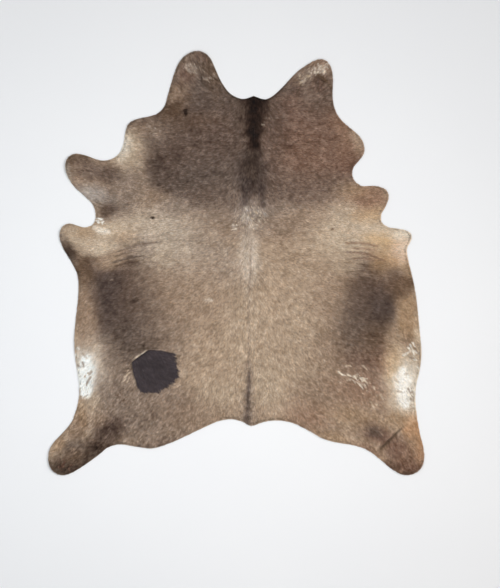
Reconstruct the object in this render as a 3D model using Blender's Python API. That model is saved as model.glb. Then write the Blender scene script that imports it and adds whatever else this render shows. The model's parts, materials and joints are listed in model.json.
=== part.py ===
"""A whole hair-on cowhide, laid flat on a floor, hair side up, with one sewn-in repair piece.

Frame: metres, +Z up, origin in the middle of the floor under the skin. +Y runs to the neck and
+X to the right of someone who looks down on the hair with the neck away from them.
"""
import math

import bmesh
import bpy
import numpy as np
from mathutils import Vector
from mathutils.geometry import delaunay_2d_cdt

MM = 0.001

# driving dimensions
LEATHER = 2.2 * MM            # tanned skin, as cut at the edge
PILE = 2.8 * MM               # short hair, lying flat on the skin
EDGE_STEP = 21 * MM           # spacing of the points round the cut edge
FIELD_STEP = 62 * MM          # spacing of the points in the open skin
RIM_CLEAR = 24 * MM           # open skin points keep this far from an edge
ROW_CLEAR = 17 * MM           # and this far from the rows along a wrinkle
ROW_STEP = 26 * MM            # spacing of the points along a wrinkle
SEAM_GAP = 0.3 * MM           # between the skin and the repair piece
CORNER_CUT = 7 * MM           # the knife rounds each corner of the repair by this much

# how the hair rounds down to the cut edge: inset from the edge, height above the underside
HAIR_SHOULDER = ((0.0, LEATHER), (3.4 * MM, LEATHER + 0.75 * PILE), (9.0 * MM, LEATHER + PILE))
SEAM_SHOULDER = ((0.0, LEATHER + 0.6 * PILE), (3.0 * MM, LEATHER + PILE))

# the cut edge, clockwise from the neck: millimetres right of and ahead of the middle
OUTLINE = {
    "neck": ((86, 836), (113, 826), (140, 818), (172, 829)),
    "right ear": ((218, 867), (318, 968), (418, 1018), (456, 1002), (477, 956), (480, 816)),
    "right cheek": ((492, 764), (524, 713), (610, 637), (634, 596), (636, 553), (614, 518)),
    "right fore leg": ((585, 484), (576, 446), (590, 409), (624, 386), (678, 387), (724, 379),
                       (754, 356), (757, 321), (738, 275)),
    "right elbow": ((720, 241), (723, 207), (746, 184), (850, 162), (874, 139), (868, 111), (850, 76)),
    "right belly": ((853, 34), (891, -134), (916, -358), (922, -453), (913, -534), (896, -614)),
    "right hind leg": ((893, -698), (907, -806), (937, -964), (921, -1022), (884, -1050), (836, -1055),
                       (783, -1031), (718, -979), (654, -931)),
    "right rump": ((590, -908), (498, -893), (423, -870), (348, -827), (278, -794), (203, -783),
                   (134, -791)),
    "tail root": ((70, -811), (33, -790), (-22, -777)),
    "left rump": ((-88, -786), (-167, -820), (-332, -897), (-422, -923), (-502, -914), (-582, -903)),
    "left hind leg": ((-637, -916), (-697, -964), (-838, -1052), (-888, -1054), (-927, -1021),
                      (-938, -964), (-919, -904), (-872, -852)),
    "left belly": ((-825, -796), (-797, -726), (-783, -638), (-806, -444), (-806, -338), (-787, -138),
                   (-793, -54), (-829, 18)),
    "left elbow": ((-866, 82), (-881, 134), (-870, 179), (-835, 199), (-792, 187), (-750, 178),
                   (-712, 196)),
    "left fore leg": ((-701, 239), (-714, 291), (-757, 337), (-804, 379), (-842, 437), (-853, 487),
                      (-838, 528), (-802, 547), (-742, 535), (-687, 515)),
    "left cheek": ((-637, 515), (-592, 538), (-567, 580), (-539, 693), (-505, 716), (-392, 747)),
    "left ear": ((-356, 787), (-339, 845), (-289, 994), (-249, 1040), (-192, 1058), (-142, 1038),
                 (-74, 904), (-29, 846)),
    "neck, left of the mane": ((28, 821), (58, 825)),
}

# knife corners of the sewn-in piece, clockwise from its left corner, in the same millimetres
REPAIR = ((-523, -492), (-437, -430), (-381, -432), (-318, -448), (-307, -492), (-294, -566),
          (-336, -600), (-397, -637), (-472, -640), (-492, -615), (-515, -552))

# soft ridges of the whole skin: start, middle and end of the crest, half width, rise, all in mm
RIDGES = {
    "left elbow, upper": {"crest": ((-592, 52), (-492, 87), (-392, 107)), "half": 17, "rise": 3.6},
    "left elbow, lower": {"crest": ((-632, 14), (-547, 28), (-452, 38)), "half": 18, "rise": 2.8},
    "right elbow, upper": {"crest": ((578, 108), (648, 101), (722, 70)), "half": 16, "rise": 2.8},
    "right elbow, middle": {"crest": ((528, 61), (628, 46), (743, 2)), "half": 17, "rise": 3.8},
    "right elbow, lower": {"crest": ((572, 3), (658, -14), (742, -56)), "half": 18, "rise": 2.6},
    "right hind leg": {"crest": ((712, -935), (762, -886), (846, -802)), "half": 15, "rise": 4.6},
    "right ear": {"crest": ((392, 936), (428, 914), (462, 888)), "half": 13, "rise": 3.4},
}

# partings of the hair only, with the skin flat underneath: the same columns, with a depth
PARTINGS = {
    "spine, fore": {"crest": ((66, 150), (63, -100), (64, -320)), "half": 17, "depth": 0.9},
    "spine, rump": {"crest": ((63, -420), (58, -600), (60, -720)), "half": 19, "depth": 1.1},
}

# tips and edges that lift off the floor: the highest point on the edge, reach inwards, lift, in mm
LIFTS = {
    "left ear": {"at": (-200, 1056), "reach": 190, "lift": 8.0},
    "right ear": {"at": (432, 1015), "reach": 175, "lift": 7.0},
    "left cheek": {"at": (-545, 705), "reach": 120, "lift": 5.0},
    "right cheek": {"at": (640, 575), "reach": 130, "lift": 5.0},
    "left fore leg": {"at": (-850, 505), "reach": 175, "lift": 9.0},
    "right fore leg": {"at": (758, 345), "reach": 120, "lift": 6.0},
    "left elbow": {"at": (-880, 150), "reach": 130, "lift": 7.0},
    "right elbow": {"at": (874, 135), "reach": 115, "lift": 6.5},
    "left belly": {"at": (-808, -400), "reach": 125, "lift": 3.5},
    "right belly": {"at": (922, -470), "reach": 140, "lift": 5.0},
    "left hind leg": {"at": (-925, -1020), "reach": 205, "lift": 8.0},
    "right hind leg": {"at": (915, -1035), "reach": 195, "lift": 9.0},
    "left rump": {"at": (-420, -925), "reach": 130, "lift": 3.5},
    "right rump": {"at": (450, -880), "reach": 120, "lift": 3.0},
}

MATERIALS = {
    "hide": {"name": "hair_on_hide_taupe", "colour": (0.306, 0.222, 0.162, 1.0), "roughness": 0.62},
    "patch": {"name": "hair_on_hide_black", "colour": (0.052, 0.043, 0.043, 1.0), "roughness": 0.58},
}


def clear_scene():
    for thing in list(bpy.data.objects):
        bpy.data.objects.remove(thing, do_unlink=True)


def even_ring(corners, step):
    """Points at even steps round a closed run of points."""
    closed = np.vstack([corners, corners[:1]])
    along = np.concatenate([[0.0], np.cumsum(np.linalg.norm(np.diff(closed, axis=0), axis=1))])
    places = np.linspace(0.0, along[-1], max(8, round(along[-1] / step)), endpoint=False)
    return np.stack([np.interp(places, along, closed[:, k]) for k in (0, 1)], axis=1)


def curve_ring(marks, step):
    """A closed centripetal Catmull-Rom curve through the marks, in even steps."""
    fine = []
    for k in range(len(marks)):
        a, b, c, d = (marks[(k + j - 1) % len(marks)] for j in range(4))
        t0 = 0.0
        t1 = t0 + math.sqrt(np.linalg.norm(b - a))
        t2 = t1 + math.sqrt(np.linalg.norm(c - b))
        t3 = t2 + math.sqrt(np.linalg.norm(d - c))
        t = np.linspace(t1, t2, 16, endpoint=False)[:, None]
        ab = (t1 - t) / (t1 - t0) * a + (t - t0) / (t1 - t0) * b
        bc = (t2 - t) / (t2 - t1) * b + (t - t1) / (t2 - t1) * c
        cd = (t3 - t) / (t3 - t2) * c + (t - t2) / (t3 - t2) * d
        abc = (t2 - t) / (t2 - t0) * ab + (t - t0) / (t2 - t0) * bc
        bcd = (t3 - t) / (t3 - t1) * bc + (t - t1) / (t3 - t1) * cd
        fine.append((t2 - t) / (t2 - t1) * abc + (t - t1) / (t2 - t1) * bcd)
    return even_ring(np.vstack(fine), step)


def knife_ring(corners, cut, step):
    """A straight-sided ring whose corners are cut off twice, so that they turn softly."""
    ring = []
    for k in range(len(corners)):
        corner = corners[k]
        ends = []
        for other in (corners[k - 1], corners[(k + 1) % len(corners)]):
            side = other - corner
            ends.append(corner + side * min(0.4, cut / np.linalg.norm(side)))
        middle = 0.5 * corner + 0.25 * (ends[0] + ends[1])
        ring += [ends[0], middle, ends[1]]
    full = []
    for a, b in zip(ring, ring[1:] + ring[:1]):
        pieces = max(1, round(np.linalg.norm(b - a) / step))
        full += [a + (b - a) * k / pieces for k in range(pieces)]
    return np.array(full)


def moved_ring(ring, inset):
    """The ring moved to the right of its run by the inset: inwards for a clockwise one."""
    run = np.roll(ring, -1, axis=0) - np.roll(ring, 1, axis=0)
    run /= np.linalg.norm(run, axis=1)[:, None]
    return ring + inset * np.stack([run[:, 1], -run[:, 0]], axis=1)


def turns_left(ring):
    following = np.roll(ring, -1, axis=0)
    return (ring[:, 0] * following[:, 1] - ring[:, 1] * following[:, 0]).sum() > 0.0


def inside(points, ring):
    """True for each point that lies within the ring."""
    x, y = points[:, :1], points[:, 1:]
    (x0, y0), (x1, y1) = ring.T, np.roll(ring, -1, axis=0).T
    spans = (y0 > y) != (y1 > y)
    with np.errstate(divide="ignore", invalid="ignore"):
        crossing = x0 + (y - y0) * (x1 - x0) / (y1 - y0)
    return (spans & (x < crossing)).sum(axis=1) % 2 == 1


def clearance(points, ring, closed=True):
    """Distance from each point to the nearest stretch of the ring or row."""
    start = ring if closed else ring[:-1]
    side = (np.roll(ring, -1, axis=0) if closed else ring[1:]) - start
    reach = points[:, None] - start[None]
    share = np.clip((reach * side).sum(axis=2) / (side * side).sum(axis=1), 0.0, 1.0)
    return np.linalg.norm(reach - share[..., None] * side[None], axis=2).min(axis=1)


def crest_row(crest, step=ROW_STEP):
    """Points along a crest that passes through its three marks."""
    start, middle, end = (np.array(mark) * MM for mark in crest)
    handle = 2.0 * middle - 0.5 * (start + end)
    length = np.linalg.norm(middle - start) + np.linalg.norm(end - middle)
    t = np.linspace(0.0, 1.0, max(4, round(length / step) + 1))[:, None]
    return (1 - t) ** 2 * start + 2 * t * (1 - t) * handle + t ** 2 * end


def soft_line(points, crest, half):
    """1 on the crest, falling softly to 0 at half its width and towards both of its ends."""
    row = crest_row(crest)
    off = np.clip(clearance(points, row, closed=False) / (half * MM), 0.0, 1.0)
    length = np.linalg.norm(row[-1] - row[0])
    ends = np.minimum(np.linalg.norm(points - row[0], axis=1), np.linalg.norm(points - row[-1], axis=1))
    taper = np.clip(ends / (0.35 * length), 0.0, 1.0)
    return np.cos(0.5 * math.pi * off) ** 2 * np.sin(0.5 * math.pi * taper)


def underside(points):
    """Height of the skin's underside above the floor."""
    height = np.zeros(len(points))
    for ridge in RIDGES.values():
        height += ridge["rise"] * MM * soft_line(points, ridge["crest"], ridge["half"])
    for tip in LIFTS.values():
        away = np.linalg.norm(points - np.array(tip["at"]) * MM, axis=1) / (tip["reach"] * MM)
        height += tip["lift"] * MM * np.clip(1.0 - away, 0.0, 1.0) ** 2
    return height


def hair_top(points):
    """Height of the lying hair above the skin's underside, away from an edge."""
    height = np.full(len(points), LEATHER + PILE)
    for parting in PARTINGS.values():
        height -= parting["depth"] * MM * soft_line(points, parting["crest"], parting["half"])
    return height


def wrinkle_rows():
    """Rows along each ridge and parting: its crest, both flanks and both feet."""
    rows = []
    for line in (*RIDGES.values(), *PARTINGS.values()):
        crest = crest_row(line["crest"])
        run = np.gradient(crest, axis=0)
        run /= np.linalg.norm(run, axis=1)[:, None]
        side = np.stack([-run[:, 1], run[:, 0]], axis=1) * line["half"] * MM
        rows += [crest + share * side for share in (-1.0, -0.5, 0.0, 0.5, 1.0)]
    return rows


def field_points(outer, holes, rows):
    """An even spread of points in the open skin, clear of the edges and of the rows."""
    low, high = outer.min(axis=0), outer.max(axis=0)
    pitch = FIELD_STEP * math.sqrt(0.75)
    spread = []
    for line, y in enumerate(np.arange(low[1], high[1], pitch)):
        shift = 0.5 * FIELD_STEP * (line % 2)
        spread += [(x, y) for x in np.arange(low[0] + shift, high[0], FIELD_STEP)]
    spread = np.array(spread)
    keep = inside(spread, outer) & (clearance(spread, outer) > RIM_CLEAR)
    for hole in holes:
        keep &= ~inside(spread, hole) & (clearance(spread, hole) > RIM_CLEAR)
    for row in rows:
        keep &= clearance(spread, row, closed=False) > ROW_CLEAR
    return spread[keep]


def filled(rings, extra):
    """Triangles over the area between the rings, through every extra point."""
    points = np.vstack([*rings, extra]) if len(extra) else np.vstack(rings)
    areas, first = [], 0
    for ring in rings:
        area = list(range(first, first + len(ring)))
        areas.append(area if turns_left(ring) else area[::-1])
        first += len(ring)
    fitted = delaunay_2d_cdt([Vector(p) for p in points], [], areas, 1, 1e-7)
    faces, sources, owners = fitted[2], fitted[3], fitted[5]
    wanted = [face for face, owner in zip(faces, owners) if owner == [0]]
    return points, [[sources[corner][0] for corner in face] for face in wanted]


def skin_solid(name, outer, holes, extra, outer_shoulder):
    """One closed solid: a flat-bottomed skin whose hair rounds down to each edge."""
    bm = bmesh.new()

    def add_points(points, height):
        return [bm.verts.new((x, y, z)) for (x, y), z in zip(points, height)]

    # one ladder of rings for each edge, from the underside up over the hair's shoulder
    shoulders = [outer_shoulder] + [SEAM_SHOULDER] * len(holes)
    ladders, top_rings = [], []
    for ring, shoulder in zip([outer, *holes], shoulders):
        floor = underside(ring)
        ladder = [add_points(ring, floor)]
        for inset, height in shoulder:
            moved = moved_ring(ring, inset)
            ladder.append(add_points(moved, underside(moved) + height))
        ladders.append(ladder)
        top_rings.append(moved)

    # the underside spans the edges themselves, and the hair the innermost rings
    for rings, level, upward in (([outer, *holes], 0, False), (top_rings, -1, True)):
        points, triangles = filled(rings, extra)
        height = underside(extra) + (hair_top(extra) if upward else 0.0) if len(extra) else []
        corners = [vert for ladder in ladders for vert in ladder[level]] + add_points(extra, height)
        for a, b, c in triangles:
            (ax, ay), (bx, by), (cx, cy) = points[a], points[b], points[c]
            turns_up = (bx - ax) * (cy - ay) - (by - ay) * (cx - ax) > 0
            order = (a, b, c) if turns_up == upward else (a, c, b)
            bm.faces.new([corners[k] for k in order])

    for ladder in ladders:
        for lower, upper in zip(ladder, ladder[1:]):
            for k in range(len(lower)):
                n = (k + 1) % len(lower)
                bm.faces.new((lower[k], upper[k], upper[n], lower[n]))
    bmesh.ops.recalc_face_normals(bm, faces=bm.faces)
    bmesh.ops.triangulate(bm, faces=[face for face in bm.faces if len(face.verts) > 3])

    mesh = bpy.data.meshes.new(name)
    bm.to_mesh(mesh)
    bm.free()
    mesh.shade_smooth()
    thing = bpy.data.objects.new(name, mesh)
    bpy.context.scene.collection.objects.link(thing)
    return thing


def give_material(thing, look):
    material = bpy.data.materials.new(look["name"])
    material.use_nodes = True
    shader = material.node_tree.nodes["Principled BSDF"]
    shader.inputs["Base Color"].default_value = look["colour"]
    shader.inputs["Roughness"].default_value = look["roughness"]
    shader.inputs["Metallic"].default_value = 0.0
    material.diffuse_color = look["colour"]
    thing.data.materials.append(material)


def build_hide(repair):
    marks = np.array([mark for stretch in OUTLINE.values() for mark in stretch]) * MM
    outer = curve_ring(marks, EDGE_STEP)
    hole = moved_ring(repair, -SEAM_GAP)[::-1]
    rows = wrinkle_rows()
    field = field_points(outer, [hole], rows)
    return skin_solid("hide", outer, [hole], np.vstack([field, *rows]), HAIR_SHOULDER)


def build_patch(repair):
    field = field_points(repair, [], [])
    return skin_solid("patch", repair, [], field, SEAM_SHOULDER)


def main():
    clear_scene()
    repair = knife_ring(np.array(REPAIR) * MM, CORNER_CUT, EDGE_STEP)
    for thing in (build_hide(repair), build_patch(repair)):
        give_material(thing, MATERIALS[thing.name])


main()
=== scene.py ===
"""A whole hair-on cowhide laid flat on a pale floor, seen from straight above.

Metres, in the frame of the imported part: +Z up, +Y to the neck, +X to the right of the picture.
The tables of the coat are in millimetres from the middle of the skin.
"""

import json
import math
from collections import namedtuple

import bmesh
import bpy
import numpy as np
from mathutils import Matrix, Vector
from mathutils.bvhtree import BVHTree

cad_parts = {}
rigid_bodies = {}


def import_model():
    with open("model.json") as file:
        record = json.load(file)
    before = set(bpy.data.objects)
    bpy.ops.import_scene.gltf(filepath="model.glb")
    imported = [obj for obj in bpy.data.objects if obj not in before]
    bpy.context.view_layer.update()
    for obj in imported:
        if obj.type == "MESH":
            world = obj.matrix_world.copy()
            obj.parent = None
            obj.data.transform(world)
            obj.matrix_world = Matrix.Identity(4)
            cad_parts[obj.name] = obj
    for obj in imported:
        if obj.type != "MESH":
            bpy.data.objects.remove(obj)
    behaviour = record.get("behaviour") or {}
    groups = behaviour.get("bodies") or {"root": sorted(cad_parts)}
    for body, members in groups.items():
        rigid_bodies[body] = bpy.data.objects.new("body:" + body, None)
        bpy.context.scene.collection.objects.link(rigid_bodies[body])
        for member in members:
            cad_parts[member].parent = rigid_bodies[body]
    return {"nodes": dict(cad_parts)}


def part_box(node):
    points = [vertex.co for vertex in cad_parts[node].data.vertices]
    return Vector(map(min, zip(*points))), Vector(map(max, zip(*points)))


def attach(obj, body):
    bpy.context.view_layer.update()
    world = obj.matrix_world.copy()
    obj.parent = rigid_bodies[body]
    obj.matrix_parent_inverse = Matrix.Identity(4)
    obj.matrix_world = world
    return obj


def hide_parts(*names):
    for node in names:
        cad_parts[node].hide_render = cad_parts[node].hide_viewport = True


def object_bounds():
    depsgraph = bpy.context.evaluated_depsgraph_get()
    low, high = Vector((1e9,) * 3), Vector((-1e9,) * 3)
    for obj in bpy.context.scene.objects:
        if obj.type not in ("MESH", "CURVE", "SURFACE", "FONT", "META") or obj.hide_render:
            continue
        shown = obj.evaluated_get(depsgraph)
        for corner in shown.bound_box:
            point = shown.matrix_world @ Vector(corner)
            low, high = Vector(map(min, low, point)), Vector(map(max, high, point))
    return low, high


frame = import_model()
cad_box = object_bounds()

MM = 0.001

# the skins
HIDE_CUTS, HIDE_RELIEF = 3, 0.55  # cuts in each edge of the solid's mesh, unevenness in mm
PATCH_CUTS, PATCH_RELIEF = 2, 0.2
SMOOTHING_PASSES = 14
RELIEFS = ((0.7, 95, 81), (0.3, 26, 91))  # weight, size in mm, seed
UNDERSIDE, HAIR_SIDE = -0.8, 0.35  # a face belongs to that side past this slope of its normal
FIELD_CELL = 6 * MM  # grid on which heights and edge distances are kept
FIELD_MARGIN = 0.02

# the hair
LOCK_LENGTH = 13 * MM  # a lock is a dozen or so hairs that lie together
LOCK_WIDTH = 2.2 * MM
LOCK_WAIST = 0.42  # share of its length at which a lock is widest
LOCK_RISE = 0.45 * MM  # ridge of a lock above its two sides
LOCK_SPLIT = [[0, 3, 2], [0, 2, 1]]  # its two faces, where 0 is its root and 2 its tip
LOCKS_HIDE, LOCKS_PATCH = 372000, 5200  # before those too near a cut edge are left out
HAIR_LIFT = 1.075  # locks shade one another, so their colour is set this much brighter
HIDE_ROOT_SHADOW, PATCH_ROOT_SHADOW = 0.82, 0.8  # the skin under the locks is this much darker than they are: painted shade under the locks
RIM_SHADOW = 0.93  # the hair at the cut edge is this much darker too: painted shade where it rounds over the edge
TONE_SPREAD, WARMTH_SPREAD = 0.085, 0.02  # from lock to lock
END_TONES = [-0.14, -0.01, 0.08, -0.01]  # a lock is darker at its root, painted shade where other locks cover it, and lighter at its tip
HIDE_CLEAR, PATCH_CLEAR = 1.5 * MM, 0.8 * MM  # no lock is rooted nearer to the cut edge
RIM_SPACING = 1.3 * MM  # between the overhanging locks round the cut edge
RIM_OVERHANG = 4.0 * MM  # no tip reaches further past the edge
HIDE_DROOP, RIM_DROOP = 2.6 * MM, 3.2 * MM  # how far the tips hang down past the edge
PATCH_SHADE = "#3a3336"
PATCH_FAN = np.array([-555.0, -360.0])  # in mm: the hair of the repair piece spreads from here
TUFT_TURN = 4.5  # degrees of that fan for each tuft

# the stitches
THREAD = 0.8 * MM
STITCH_PITCH, STITCH_LENGTH, STITCH_SLANT = 5.5 * MM, 6.5 * MM, 0.45

# the coat's unevenness: sizes in mm
RAGS = ((11, 60), (5, 15))  # a marking's edge strays this far, in waves of this size
TUFT_RAG = 0.35  # and a tuft's edge by this share of it
CLUMP_EDGE = 0.12  # softness of the edge of a clump of FLECKS
RIPPLE_STRETCH = 7  # a wrinkle is this many times as long as it is wide
RIPPLE_WIDTH = 0.28  # and takes this share of its cloud's height
MOTTLES = ((0.020, 110, 41), (0.072, 24, 51), (0.090, 9.5, 71))  # weight, size, seed
STREAK_WEIGHT, STREAK_SIZE = 0.080, 5.0
HAIR_STEP = 4  # colours are drawn out this far along the hair
MOTTLE_TINT = np.array([1.0, 0.97, 0.93])
NOISE_CELLS = 256  # after so many cells the noise repeats

Marking = namedtuple("Marking", "part x y half_wide half_long shade amount edge turn", defaults=(0.8, 0))
Streak = namedtuple("Streak", "part ragged edge shade amount marks")
Tuft = namedtuple("Tuft", "part half_wide shade amount dashes")
Fleck = namedtuple("Fleck", "part x y half_wide half_long size share shade turn", defaults=(0,))
Ripple = namedtuple("Ripple", "part x y half_wide half_long spacing depth turn", defaults=(0,))
Lie = namedtuple("Lie", "part x y heading reach grain")


def table(kind, text):
    """Rows from lines of a part's name and its values. Places after a bar are a run, parted by commas."""
    rows = []
    for line in text.strip().replace(",\n", ", ").splitlines():
        part, values = line.split(": ")
        values, *runs = values.split(" | ")
        cells = [word if word.isalpha() else float(word) for word in values.split()]
        cells += [[[float(word) for word in place.split()] for place in run.split(",")] for run in runs]
        rows.append(kind(part, *cells))
    return rows


# the shades of hair on this skin, in sRGB
SHADES = {
    "soot": "#1a0b04", "peat": "#3b2d24", "slate": "#463a36", "bark": "#53433a", "umber": "#5d4939",
    "mole": "#5c4f47", "chestnut": "#6a4f42", "drab": "#6d5c51", "cocoa": "#765c4f", "stone": "#7d6d61",
    "hazel": "#846f5e", "russet": "#8c6f5c", "fawn": "#937d6a", "taupe": "#98897c", "tan": "#9f8468",
    "ash": "#a39a93", "sand": "#a8937e", "oat": "#b4a28d", "amber": "#b98f6b", "honey": "#bb9b78",
    "straw": "#c8ab87", "cream": "#c8b7a2", "linen": "#b2a698", "pearl": "#c8baab", "peach": "#d3b8a0",
    "ivory": "#dccfbd", "frost": "#e6e4de", "snow": "#ebeeec", "white": "#f5f0e8",
}
GROUND = "sand"
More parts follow.
